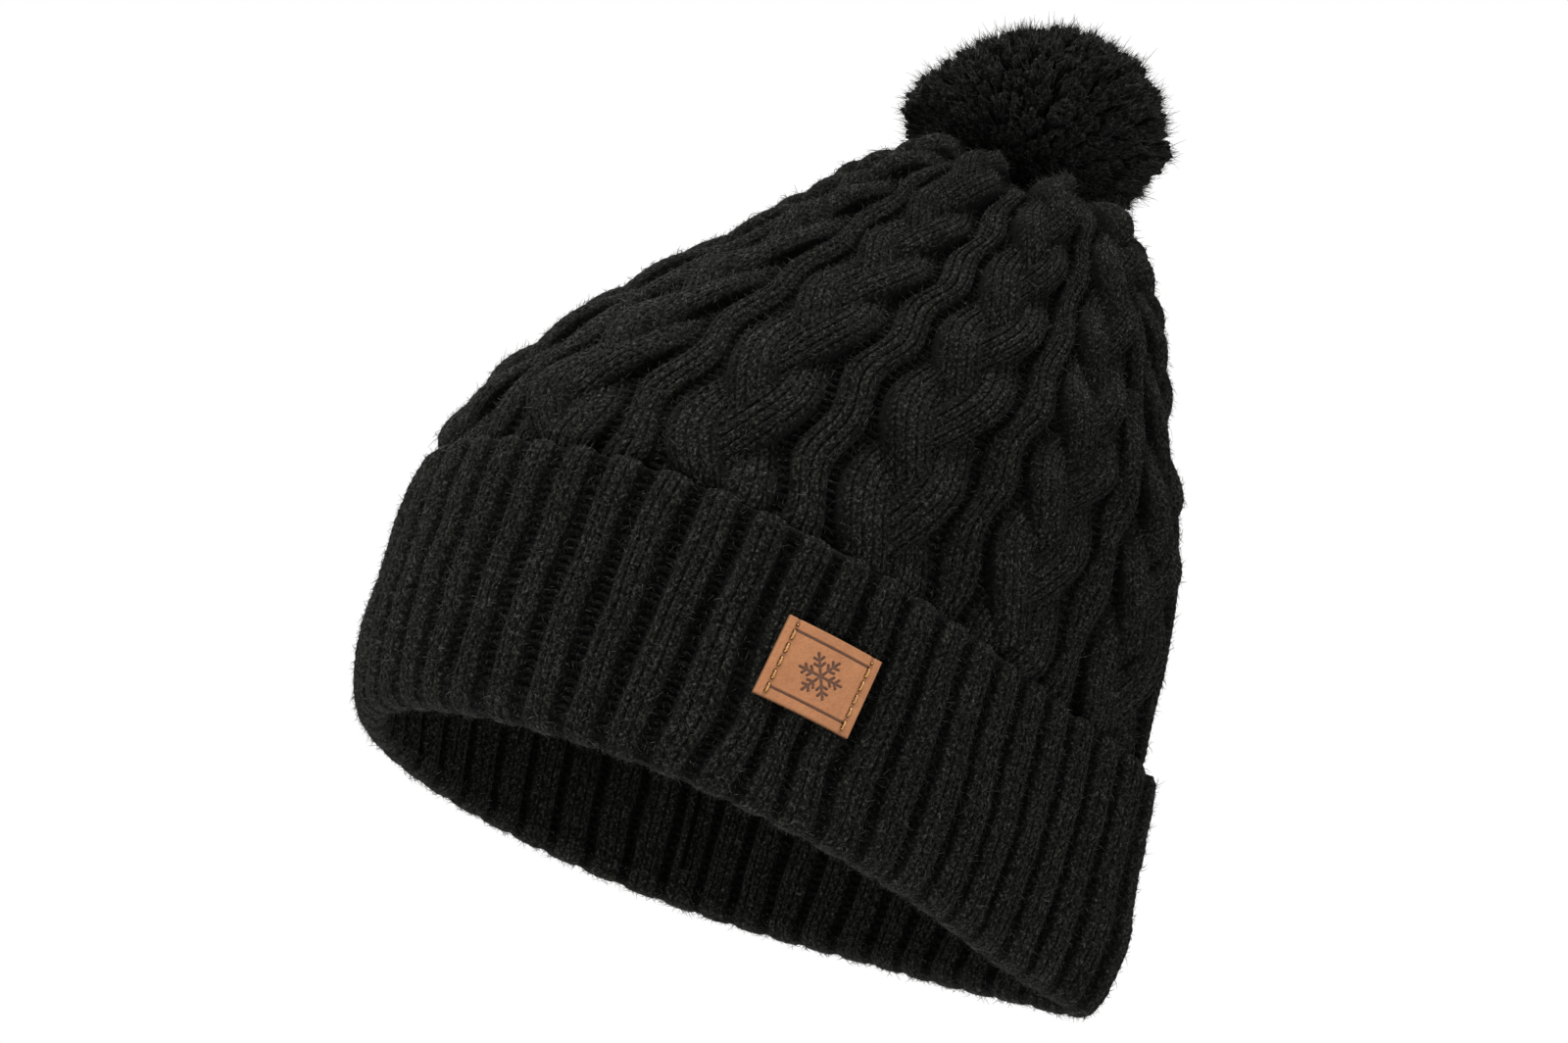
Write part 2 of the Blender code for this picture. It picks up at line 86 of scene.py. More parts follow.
# Crown
CROWN_BOTTOM_MM = 56.0
CUFF_TOP_MM = 71.0
PLAIT_MM = 88.0              # a strand's full swing and back, at the crown's base
CABLE_HALF_MM = 17.8
STRAND_HALF_MM = 8.2
STRAND_WALES = 5
STRAND_RISE_MM = 3.3
CROSS_RISE_MM = 2.0
FURROW_MM = 3.1
CROWN_RIB_WALES = 4
CROWN_RIB_RISE_MM = 2.9
CROWN_WALL_MM = 1.9
REPEAT_MM = 50.0

# Cuff: its section, from the lip inside the hat, round the fold and up to the free edge (mm)
CUFF_FACE = (
    (-0.3, 6.1), (0.0, 4.0), (1.0, 1.5), (2.8, 0.2), (4.8, 0.0), (7.0, 0.5), (9.0, 2.6), (9.8, 7.0),
    (9.8, 15.0), (9.7, 27.0), (9.6, 40.0), (9.4, 52.0), (9.1, 62.0), (8.7, 68.0), (7.6, 70.8),
)
CUFF_BACK = ((5.9, 70.6), (5.2, 67.0), (5.0, 52.0), (5.0, 30.0), (5.0, 12.0), (4.0, 7.0))

# How the soft knit settles (mm)
CUFF_TILT = 0.03             # the fall of the cuff towards the right, as a share of the width
RIM_BACK_MM = 1.6            # the rim's back stands further out
RIM_BACK_DROP_MM = 0.6
RIM_END_DROP_MM = 2.0        # the rim's right end hangs lower
RIM_LEFT_MM = 2.2            # outwards at the rim's left end
CUFF_RIGHT_MM = 3.4          # inwards at the cuff's right end
FLANK_LEFT_MM = 5.0          # inwards on the crown's flanks
FLANK_RIGHT_MM = 4.0
SHOULDER_DROP_MM = 2.6       # the crown's top hangs lower on the left

# Patch
PATCH_X_MM = 3.0
PATCH_Z_MM = 38.3
PATCH_WIDTH_MM = 27.4
PATCH_HEIGHT_MM = 22.0
PATCH_LEAN = 0.05            # how far its top stands to the right, as a share of its height
PATCH_FACE_MM = 10.4
PATCH_BACK_MM = 8.6
PATCH_COLUMNS = 260
PATCH_ROWS = 224
PATCH_HOLES = 11
PATCH_SEAM_MM = 11.0         # from the patch's middle to each row of holes

# Pompom
PIVOT = np.array((8.8, 0.0, 206.0))
POMPOM_MIDDLE = np.array((8.8, 0.0, 233.0))
POMPOM_WIDE_MM = 38.0        # without its loose fibres
POMPOM_TALL_MM = 27.8
POMPOM_ROOT = np.array((8.8, -3.0, 223.0))     # where its strands are bound
POMPOM_LEAN = math.radians(22.0)
POMPOM_SLOPE = math.radians(23.0)
POMPOM_ROUND = 12.0          # how sharply the ball meets the cone under it
POMPOM_DENT = np.array((0.54, -0.10, 0.836))    # where it is pressed in
POMPOM_TIPS = 5600
POMPOM_CLUMPS = 330
FIBRES_PER_TIP = 7
STRAND_STEPS = np.array((0.45, 0.68, 0.84, 0.93, 0.98, 1.0))
STRAND_RADII_MM = np.array((0.5, 0.7, 0.85, 0.92, 0.8, 0.35))

# Yarn and thread colours, from dark to light fibres
CHARCOAL = ((0.0004, 0.0004, 0.0003), (0.0039, 0.0041, 0.0034), (0.038, 0.039, 0.033))
POMPOM_CHARCOAL = ((0.0003, 0.0003, 0.0003), (0.0030, 0.0032, 0.0029), (0.021, 0.022, 0.020))
FIBRE = ((0.005, 0.005, 0.004), (0.025, 0.026, 0.022), (0.085, 0.087, 0.078))
TIE_YARN = ((0.006, 0.006, 0.007), (0.03, 0.03, 0.032))
GOLD_THREAD = ((0.18, 0.070, 0.006), (0.44, 0.20, 0.024))
CROWN_FIBRES = 60000
CUFF_FIBRES = 44000
TIE_NODES = ("crown_gather_yarn", "tie_knot", "neck_wrap", "pompom_tie", "pompom_binding",
             "label_thread")

# Camera
CAMERA_DISTANCE = 1.15
CAMERA_PITCH = math.radians(15.5)
CAMERA_ROLL = math.radians(22.0)
CAMERA_AIM = Vector((-16.9 * MM, 0.0, 97.0 * MM))
CAMERA_LENS = 94.4

# Lights: name, place (m), size (m), power (W) and colour
LIGHTS = (
    ("key", (-0.9, -0.9, 1.8), 0.9, 88.0, (1.0, 0.99, 0.97)),
    ("fill", (1.3, -1.0, 0.3), 1.2, 8.0, (0.97, 0.98, 1.0)),
    ("rim", (-0.6, 1.1, 1.0), 0.8, 30.0, (1.0, 1.0, 1.0)),
)
FLOOR_HALF_MM = 4000.0
FLOOR_Z_MM = -350.0


# ---------------------------------------------------------------- the form

def station(t):
    """Smooth blend between the stations at one blend parameter."""
    low = min(int(t), APEX - 1)
    part = t - low
    before, start, end, after = (STATIONS[min(max(low + s, 0), APEX)] for s in (-1, 0, 1, 2))
    return start + 0.5 * part * (
        (end - before)
        + part * ((2.0 * before - 5.0 * start + 4.0 * end - after)
                  + part * (3.0 * (start - end) + after - before)))


def level_at(height_mm):
    """The blend parameter at a height between the rim and the shoulder."""
    low, high = 0.0, float(APEX - 2)
    for _ in range(40):
        middle = 0.5 * (low + high)
        if station(middle)[0] < height_mm:
            low = middle
        else:
            high = middle
    return 0.5 * (low + high)


def outline(t):
    """The form's outline at a level: points, outward directions and length so far, in mm."""
    height, half_width, half_depth, middle, pinch, taper = station(t)
    angle = np.linspace(0.0, 2.0 * math.pi, 1441)
    cosine = np.cos(angle)
    sine = np.sin(angle)
    narrow = 1.0 - pinch * cosine - taper * cosine * cosine
    point = np.stack([middle + half_width * cosine, half_depth * sine * narrow,
                      np.full_like(angle, height)], axis=1)
    slope = cosine * narrow + sine * sine * (pinch + 2.0 * taper * cosine)
    out = np.stack([half_depth * slope, half_width * sine, np.zeros_like(angle)], axis=1)
    out /= np.linalg.norm(out, axis=1)[:, None]
    step = np.linalg.norm(np.diff(point + EVEN_AT_MM * out, axis=0), axis=1)
    return point, out, np.concatenate([[0.0], np.cumsum(step)])


def along(level, length):
    """The form's points and outward directions at lengths along an outline."""
    point, out, run = level
    length = np.asarray(length) % run[-1]
    where = np.stack([np.interp(length, run, point[:, axis]) for axis in range(3)], axis=-1)
    face = np.stack([np.interp(length, run, out[:, axis]) for axis in range(3)], axis=-1)
    return where, face / np.linalg.norm(face, axis=-1, keepdims=True)


def ring(t, columns):
    """Equally spaced columns at a level, and the outline's whole length."""
    level = outline(t)
    point, out = along(level, np.arange(columns) / columns * level[2][-1])
    return point, out, level[2][-1]


def length_at_x(level, x, side):
    """The length at which an outline passes x on the front (-1) or the back (+1)."""
    point, _, run = level
    wrong_side = np.where(point[:, 1] * side > 0.0, 0.0, 1000.0)
    near = int(np.argmin(np.abs(point[:, 0] - x) + wrong_side))
    part = (x - point[near, 0]) / (point[near + 1, 0] - point[near, 0])
    return run[near] + part * (run[near + 1] - run[near])


# ---------------------------------------------------------------- small tools

def smooth_step(value):
    value = np.clip(value, 0.0, 1.0)
    return value * value * (3.0 - 2.0 * value)


def soft_noise(x, y, seed, wrap=4096):
    """Smooth noise from -1 to 1 with cells of one unit; x repeats after wrap cells."""
    table = np.random.default_rng(seed).uniform(-1.0, 1.0, (min(wrap, 512), 512))
    left = np.floor(x).astype(int)
    low = np.floor(y).astype(int)
    fx = smooth_step(x - left)
    fy = smooth_step(y - low)
    size = table.shape[0]
    a, b = left % size, (left + 1) % size
    c, d = low % 512, (low + 1) % 512
    near = table[a, c] * (1.0 - fx) + table[b, c] * fx
    far = table[a, d] * (1.0 - fx) + table[b, d] * fx
    return near * (1.0 - fy) + far * fy


def evenly(path, step):
    """Points every step along a bent line, with the corners rounded by a spline."""
    path = np.array(path, dtype=float)
    fine = []
    for i in range(len(path) - 1):
        p0, p1 = path[max(i - 1, 0)], path[i]
        p2, p3 = path[i + 1], path[min(i + 2, len(path) - 1)]
        for f in np.linspace(0.0, 1.0, 24, endpoint=False):
            bend = (2.0 * p0 - 5.0 * p1 + 4.0 * p2 - p3) * f * f + (3.0 * (p1 - p2) + p3 - p0) * f ** 3
            fine.append(0.5 * (2.0 * p1 + (p2 - p0) * f + bend))
    fine.append(path[-1])
    fine = np.array(fine)
    run = np.concatenate([[0.0], np.cumsum(np.linalg.norm(np.diff(fine, axis=0), axis=1))])
    count = max(int(round(run[-1] / step)), 2)
    want = np.linspace(0.0, run[-1], count + 1)
    return np.stack([np.interp(want, run, fine[:, axis]) for axis in range(fine.shape[1])], axis=1)


def mesh_object(name, points_mm, quads, triangles=None, smooth=True):
    """A mesh object from arrays of points (mm), quads and triangles."""
    mesh = bpy.data.meshes.new(name)
    points = np.asarray(points_mm, dtype=np.float32).reshape(-1, 3) * MM
    corners = np.asarray(quads, dtype=np.int32).reshape(-1)
    starts = np.arange(len(corners) // 4) * 4
    if triangles is not None and len(triangles):
        extra = np.asarray(triangles, dtype=np.int32).reshape(-1)
        starts = np.concatenate([starts, len(corners) + np.arange(len(extra) // 3) * 3])
        corners = np.concatenate([corners, extra])
    mesh.vertices.add(len(points))
    mesh.vertices.foreach_set("co", points.ravel())
    mesh.loops.add(len(corners))
    mesh.loops.foreach_set("vertex_index", corners)
    mesh.polygons.add(len(starts))
    mesh.polygons.foreach_set("loop_start", starts.astype(np.int32))
    mesh.update(calc_edges=True)
    mesh.validate()
    if smooth:
        mesh.shade_smooth()
    item = bpy.data.objects.new(name, mesh)
    bpy.context.scene.collection.objects.link(item)
    return item


def paint(item, name, values):
    """A number at each point, for the material."""
    layer = item.data.attributes.new(name, "FLOAT", "POINT")
    layer.data.foreach_set("value", np.asarray(values, dtype=np.float32).ravel())


def ring_quads(rows, columns, closed):
    """Quads of a grid that closes round its columns, and round its rows if closed."""
    r = np.arange(rows if closed else rows - 1)[:, None]
    c = np.arange(columns)[None, :]
    after_r = (r + 1) % rows
    after_c = (c + 1) % columns
    return np.stack([r * columns + c, r * columns + after_c,
                     after_r * columns + after_c, after_r * columns + c], axis=-1).reshape(-1, 4)


def tubes(paths, radii, sides):
    """Points, quads and triangles of many closed tubes; paths is (tubes, steps, 3) in mm."""
    count, steps, _ = paths.shape
    ahead = np.gradient(paths, axis=1)
    ahead /= np.linalg.norm(ahead, axis=2, keepdims=True) + 1e-12
    mean = ahead.mean(axis=1)
    upright = np.abs(mean[:, 2:3]) >= 0.9
    helper = np.where(upright, np.array([[1.0, 0.0, 0.0]]), np.array([[0.0, 0.0, 1.0]]))
    side = np.cross(ahead, helper[:, None, :])
    side /= np.linalg.norm(side, axis=2, keepdims=True) + 1e-12
    up = np.cross(side, ahead)
    turn = np.arange(sides) / sides * 2.0 * math.pi
    around = (side[:, :, None, :] * np.cos(turn)[None, None, :, None]
              + up[:, :, None, :] * np.sin(turn)[None, None, :, None])
    body = paths[:, :, None, :] + around * radii[:, :, None, None]
    ends = np.stack([paths[:, 0], paths[:, -1]], axis=1)
    points = np.concatenate([body.reshape(count, -1, 3), ends], axis=1)
    size = steps * sides + 2
    one = ring_quads(steps, sides, False)
    s = np.arange(sides)
    base = np.stack([np.full(sides, steps * sides), (s + 1) % sides, s], axis=1)
    last = (steps - 1) * sides
    tip = np.stack([np.full(sides, steps * sides + 1), last + s, last + (s + 1) % sides], axis=1)
    shift = np.arange(count)[:, None, None] * size
    quads = (one[None] + shift).reshape(-1, 4)
    tris = (np.concatenate([base, tip])[None] + shift).reshape(-1, 3)
    return points.reshape(-1, 3), quads, tris


def tube_object(name, paths, radii, sides):
    points, quads, tris = tubes(np.asarray(paths), np.asarray(radii), sides)
    return mesh_object(name, points, quads, tris)


# ---------------------------------------------------------------- stitches and relief (mm)

def v_stitch(across, courses):
    """A column of V stitches: across runs -1 to 1 over the column, courses counts stitches."""
    reach = np.clip(np.abs(across), 0.0, 1.0)
    part = (courses - 1.05 * reach) % 1.0
    leg = np.sin(np.pi * part) ** 0.6
    return leg * np.sin(np.pi * np.clip(0.9 * reach + 0.05, 0.0, 1.0)) ** 0.5


def purl_bar(across, courses):
    """The bars of a purl furrow, which bow a little across it."""
    return 0.5 + 0.5 * np.cos(2.0 * np.pi * (courses + 0.3 * np.abs(across)))


def knit(across, half, wales, courses):
    """Rise (mm) and painted shade of columns of stitches side by side, with a groove between two:
    darker between the stitches and in the grooves.
    """
    wale = (across / half + 1.0) * 0.5 * wales % 1.0 * 2.0 - 1.0
    stitch = v_stitch(wale, courses)
    groove = np.exp(-((np.abs(wale) - 1.0) / 0.22) ** 2)
    return STITCH_MM * stitch - GROOVE_MM * groove, (0.22 + 0.78 * stitch) * (1.0 - 0.65 * groove)


def rib_relief(ribs, courses):
    """Rise (mm) of the ribs over their crest and painted shade (0 deep, 1 on a crest): the furrows
    between ribs are painted dark.
    """
    wander = 0.05 * soft_noise(ribs, courses / 5.0, 11, RIBS) + 0.08 * soft_noise(
        ribs / 3.0, courses / 14.0, 15, RIBS // 3)
    place = (ribs + wander + 0.5) % 1.0 - 0.5
    off = np.abs(place)
    beat = courses + 0.25 * soft_noise(ribs * 2.0, courses / 3.0, 13, RIBS * 2)
    half = RIB_HALF + 0.03 * soft_noise(ribs / 6.0, courses / 20.0, 14, RIBS // 6)
    half = half - 0.035 * np.exp(-((ribs - STRETCHED_AT) / 5.0) ** 2)
    edge = half + 0.018 * np.sin(2.0 * np.pi * beat)
    wall = smooth_step((off - edge + 0.09) / 0.16)
    stitch, stitch_painted_shade = knit(place, half, RIB_WALES, beat)
    bar = purl_bar((0.5 - off) / (0.5 - half), beat)
    crest = np.minimum((off / half) ** 2, 1.5)
    rise = (stitch - crest) * (1.0 - wall) + (BAR_MM * bar - RIB_DEPTH_MM) * wall
    painted_shade_and_tone = stitch_painted_shade * (1.0 - wall) + 0.2 * bar * wall
    return rise + 0.2 * soft_noise(ribs * 4.0, courses, 12, RIBS * 4), painted_shade_and_tone


def cable_relief(across, swing, courses):
    """Rise and painted shade of a three-strand plait, darker towards each strand's edges; -9 beside
    it.
    """
    best = np.full(across.shape, -9.0)
    painted_shade_and_tone = np.zeros(across.shape)
    for strand in range(3):
        phase = swing + 2.0 * np.pi * strand / 3.0
        part = (across - (CABLE_HALF_MM - STRAND_HALF_MM) * np.sin(phase)) / STRAND_HALF_MM
        round_off = np.clip(1.0 - part * part, 0.0, 1.0)
        stitch, stitch_painted_shade = knit(part, 1.0, STRAND_WALES, courses + 0.35 * strand)
        rise = STRAND_RISE_MM * round_off ** 0.36 + CROSS_RISE_MM * np.sin(2.0 * phase) + stitch
        top = (np.abs(part) < 1.0) & (rise > best)
        best = np.where(top, rise, best)
        painted_shade_and_tone = np.where(top, stitch_painted_shade * round_off ** 0.6, painted_shade_and_tone)
    return best, painted_shade_and_tone


def plait_swing(panel, up):
    """Where the strands of a panel are in their swing, at a length up the crown."""
    panel = np.mod(panel, REPEATS)
    drift = 0.35 * np.sin(2.4 * panel) + 0.3 * soft_noise(panel * 1.7, up / 46.0, 34)
    return 2.0 * np.pi * up / PLAIT_MM + drift


def plait_edge(swing, side):
    """How far a plait reaches from its middle on the right (1) or the left (-1), smoothly."""
    share = 0.80 - 0.19 * side * np.sin(3.0 * swing)
    return STRAND_HALF_MM + (CABLE_HALF_MM - STRAND_HALF_MM) * share


def crown_relief(repeats, up, courses):
    """Rise and painted shade of the crown's knit: cables, narrow ribs and the purl furrows between,
    with the furrows painted darkest.
    """
    panel = np.floor(repeats + 0.5)
    left = plait_edge(plait_swing(panel - 1.0, up), 1) - 0.5 * REPEAT_MM
    right = 0.5 * REPEAT_MM - plait_edge(plait_swing(panel, up), -1)
    rib_half = 0.5 * (right - left) - FURROW_MM
    rib_at = ((repeats + 0.5) % 1.0 - 0.5) * REPEAT_MM - 0.5 * (left + right)
    inside = np.clip(1.0 - (rib_at / rib_half) ** 2, 0.0, 1.0)
    stitch, stitch_painted_shade = knit(rib_at, rib_half, CROWN_RIB_WALES, courses)
    rib = CROWN_RIB_RISE_MM * inside ** 0.34 - 0.7 * np.exp(-(rib_at / 0.8) ** 2) + stitch
    on_rib = np.abs(rib_at) < rib_half
    swing = plait_swing(np.floor(repeats), up)
    cable, cable_painted_shade = cable_relief((repeats % 1.0 - 0.5) * REPEAT_MM, swing, courses)
    bar = purl_bar(rib_at / 6.0, courses)
    rise = BAR_MM * bar
    painted_shade_and_tone = 0.2 * bar
    painted_shade_and_tone = np.where(on_rib & (rib > rise), stitch_painted_shade * inside ** 0.4, painted_shade_and_tone)
    rise = np.where(on_rib, np.maximum(rib, rise), rise)
    painted_shade_and_tone = np.where(cable > rise, cable_painted_shade, painted_shade_and_tone)
    return np.maximum(cable, rise), painted_shade_and_tone


# ---------------------------------------------------------------- knit pieces

def under_patch(point):
    """1 where the patch presses on the cuff, fading to 0 beyond it."""
    beside = np.abs(point[..., 0] - PATCH_X_MM) - 0.5 * PATCH_WIDTH_MM
    above = np.abs(point[..., 2] - PATCH_Z_MM) - 0.5 * PATCH_HEIGHT_MM
    share = smooth_step(1.0 - beside / 5.0) * smooth_step(1.0 - above / 5.0)
    return np.where(point[..., 1] < 0.0, share, 0.0)


def patch_pull(point):
    """How many ribs the patch's stitching draws the ribs below it towards its middle."""
    beside = point[..., 0] - PATCH_X_MM
    reach = np.exp(-(beside / 17.0) ** 2 - ((point[..., 2] - 20.0) / 13.0) ** 2)
    return np.where(point[..., 1] < 0.0, 0.03 * beside * reach, 0.0)


def rib_lean(point):
    """How many ribs the cuff's front is pulled round at its free edge, and back at its fold."""
    x, y, z = point[..., 0], point[..., 1], point[..., 2]
    reach = smooth_step(-y / 50.0) * np.exp(-((x + 15.0) / 65.0) ** 2)
    return 0.5 * reach * (z - 35.0) / 35.0


def swept_rows(section, columns):
    """Points and relief directions of rings that follow a section of (distance, height)."""
    section = np.asarray(section)
    slope = np.gradient(section, axis=0)
    slope /= np.linalg.norm(slope, axis=1, keepdims=True)
    normal = np.stack([slope[:, 1], -slope[:, 0]], axis=1)
    points, faces = [], []
    for (distance, height), (side, up) in zip(section, normal):
        point, out, _ = ring(level_at(max(height, 0.0)), columns)
        row = point + out * distance
        row[:, 2] = height
        points.append(row)
        faces.append(out * side + np.array([0.0, 0.0, up]))
    return np.array(points), np.array(faces)


def ease(value, start, length):
    """0 at the start and 1 a length further, smoothly; a negative length counts down."""
    return smooth_step((value - start) / length)


def settle(points):
    """Lets the soft knit lie as it does: lower on the right, slack at its sides, rim and top."""
    x, y, z = points[..., 0].copy(), points[..., 1].copy(), points[..., 2].copy()
    tilt = np.clip(z / CUFF_TOP_MM, 0.0, 1.0) * ease(z, 125.0, -50.0)
    low = ease(z, 30.0, -30.0)
    at_back = ease(y, 0.0, 60.0) * low
    at_end = ease(x, 45.0, 45.0) * low
    shoulder = ease(x, 6.0, -40.0) * ease(z, 172.0, 24.0)
    rim_left = ease(x, -40.0, -60.0) * ease(z, 50.0, -40.0)
    cuff_right = ease(x, 40.0, 60.0) * ease(z, 105.0, -40.0)
    below_top = ease(z, 216.0, -22.0)
    flank_left = ease(x, -5.0, -60.0) * ease(z, 76.0, 40.0) * below_top
    flank_right = ease(x, 15.0, 40.0) * ease(z, 136.0, 22.0) * below_top
    points[..., 0] -= RIM_LEFT_MM * rim_left + CUFF_RIGHT_MM * cuff_right
    points[..., 0] += FLANK_LEFT_MM * flank_left - FLANK_RIGHT_MM * flank_right
    points[..., 1] += RIM_BACK_MM * at_back
    points[..., 2] -= CUFF_TILT * x * tilt + SHOULDER_DROP_MM * shoulder
    points[..., 2] -= RIM_BACK_DROP_MM * at_back + RIM_END_DROP_MM * at_end


def make_cuff():
    """The turned-up rib, from its lip inside the hat round the fold to the free edge."""
    face = evenly(CUFF_FACE, ROW_MM)
    back = evenly(CUFF_BACK, 4.0)
    outer, direction = swept_rows(face, RIB_COLUMNS)
    inner, _ = swept_rows(back, RIB_COLUMNS)
    run = np.arange(len(face))[:, None] * ROW_MM
    ribs = np.broadcast_to(np.arange(RIB_COLUMNS)[None, :] / RIB_COLUMNS * RIBS, outer.shape[:2])
    courses = np.broadcast_to(run / COURSE_MM, outer.shape[:2])
    height = face[:, 1:2]
    drawn = (ribs + patch_pull(outer) - rib_lean(outer)) % RIBS
    relief, painted_shade_and_tone = rib_relief(drawn, courses)
    # Painted shade: the whole cuff is a tenth darker, as it faces down, away from the light from
    # above.
    painted_shade_and_tone = 0.9 * painted_shade_and_tone
    at_fold = smooth_step(1.0 - height / 11.0)
    at_edge = smooth_step((run - run[-1] + 4.0) / 4.0)
    press = under_patch(outer)
    relief = relief * (1.0 - 0.78 * at_fold) * (1.0 - 0.6 * at_edge) * (1.0 - 0.5 * press)
    swell = 0.9 * soft_noise(ribs / 4.0, courses / 7.0, 21, RIBS // 4)
    swell = swell * smooth_step((height - 3.0) / 12.0)
    outer = outer + direction * (relief - 1.6 * press + swell * (1.0 - press))[..., None]
    crest = 0.4 * np.cos(2.0 * np.pi * drawn)
    crest = crest + 0.7 * soft_noise(drawn / 2.0, 0.0 * ribs, 22, RIBS // 2)
    outer[..., 2] += smooth_step((height - 60.0) / 10.0) * crest
    outer[..., 2] = np.where(height < 6.0, np.maximum(outer[..., 2], 0.0), outer[..., 2])
    settle(outer)
    settle(inner)
    rows = np.concatenate([outer, inner])
    cuff = mesh_object("cuff_knit", rows, ring_quads(len(rows), RIB_COLUMNS, True)[:, ::-1])
    # Painted shade for the cuff's stitches, grooves and furrows; the back rows get a fixed 0.3.
    paint(cuff, "painted_shade_and_tone", np.concatenate([painted_shade_and_tone, np.full(inner.shape[:2], 0.3)]))
    return cuff, outer, direction


def make_band():
    """The ribbed band behind the cuff; an inside furrow is an outside rib."""
    face = evenly(((-0.3, 61.7), (-0.3, 40.0), (-0.3, 20.0), (-0.3, 6.2)), ROW_MM)
    back = evenly(((4.0, 6.4), (4.2, 30.0), (4.2, 56.0), (2.2, 61.6)), ROW_MM)
    sides = []
    for section, shift, share in ((face, 0.0, 0.85), (back, 0.5, 0.6)):
        points, direction = swept_rows(section, RIB_COLUMNS)
        run = -np.arange(len(section))[::-1, None] * ROW_MM
        ribs = np.arange(RIB_COLUMNS)[None, :] / RIB_COLUMNS * RIBS + 0.0 * run
        courses = run / COURSE_MM + 0.0 * ribs
        relief, painted_shade_and_tone = rib_relief((ribs + shift) % RIBS, courses)
        points = points + direction * (share * relief)[..., None]
        settle(points)
        sides.append((points, painted_shade_and_tone))
    rows, painted_shade_and_tone = (np.concatenate(pair) for pair in zip(*sides))
    band = mesh_object("band_knit", rows, ring_quads(len(rows), RIB_COLUMNS, True)[:, ::-1])
    # Painted shade for the band's stitches, grooves and furrows.
    paint(band, "painted_shade_and_tone", painted_shade_and_tone)
    return band


def crown_levels():
    """Blend parameters one mesh row apart up the crown, and the length up to each."""
    coarse = np.linspace(level_at(CROWN_BOTTOM_MM), APEX, 160)
    form = np.array([ring(t, 48)[0] for t in coarse])
    step = np.linalg.norm(np.diff(form, axis=0), axis=2).mean(axis=1)
    run = np.concatenate([[0.0], np.cumsum(step)])
    want = np.linspace(0.0, run[-1], int(run[-1] / ROW_MM) + 1)
    return np.interp(want, run, coarse), want


def make_crown():
    """The cabled crown, from behind the cuff to the drawn-in apex."""
    levels, run = crown_levels()
    rings = [ring(t, CROWN_COLUMNS) for t in levels]
    form = np.array([r[0] for r in rings])
    size = np.clip(np.array([r[2] for r in rings]) / (REPEAT_MM * REPEATS), 0.0, 1.0)[:, None]
    around = np.roll(form, -1, axis=1) - np.roll(form, 1, axis=1)
    out = np.cross(around, np.gradient(form, axis=0))
    out /= np.linalg.norm(out, axis=2, keepdims=True)
    squeeze = np.clip(size, 0.3, 1.0) ** 0.45
    up = np.cumsum(np.gradient(run)[:, None] / squeeze, axis=0) + 0.0 * form[..., 0]
    repeats = np.arange(CROWN_COLUMNS)[None, :] / CROWN_COLUMNS * REPEATS + 0.0 * up
    courses = up / COURSE_MM
    rise, painted_shade_and_tone = crown_relief(repeats, up, courses)
    grow = smooth_step((form[:, :1, 2] - CUFF_TOP_MM + 2.5) / 7.0)
    fade = smooth_step((APEX - levels[:, None]) / 2.2)
    start = smooth_step((form[:, :1, 2] - CROWN_BOTTOM_MM - 2.0) / 7.0)
    rise = rise * (0.55 * start + 0.45 * grow) * (0.3 + 0.7 * fade)
    rise = rise * np.clip(size * 1.4 + 0.2, 0.5, 1.0)
    slack = 1.2 * soft_noise(repeats * 1.5, up / 34.0, 31, int(REPEATS * 1.5)) * grow * fade
    drawn = smooth_step((0.75 - size) / 0.4) * smooth_step((APEX - levels[:, None]) / 1.6)
    pleat = 3.8 * drawn * (0.3 - np.cos(2.0 * np.pi * repeats) + 1.1 * soft_noise(
        repeats * 1.5, up / 40.0, 32, int(REPEATS * 1.5)))
    outer = form + out * (CROWN_WALL_MM + rise + slack + pleat)[..., None]
    picks = np.linspace(0, len(form) - 1, 70).astype(int)[::-1]
    bumps = 0.5 * soft_noise(repeats[picks] * 4.0, up[picks] / 6.0, 33, REPEATS * 4)
    inner = form[picks] + out[picks] * bumps[..., None]
    settle(outer)
    settle(inner)
    rows = np.concatenate([outer, inner])
    crown = mesh_object("crown_knit", rows, ring_quads(len(rows), CROWN_COLUMNS, True))
    # Painted shade for the crown's stitches, grooves and furrows; the inside rows get a fixed 0.3.
    paint(crown, "painted_shade_and_tone", np.concatenate([painted_shade_and_tone, np.full(inner.shape[:2], 0.3)]))
    return crown, outer, out


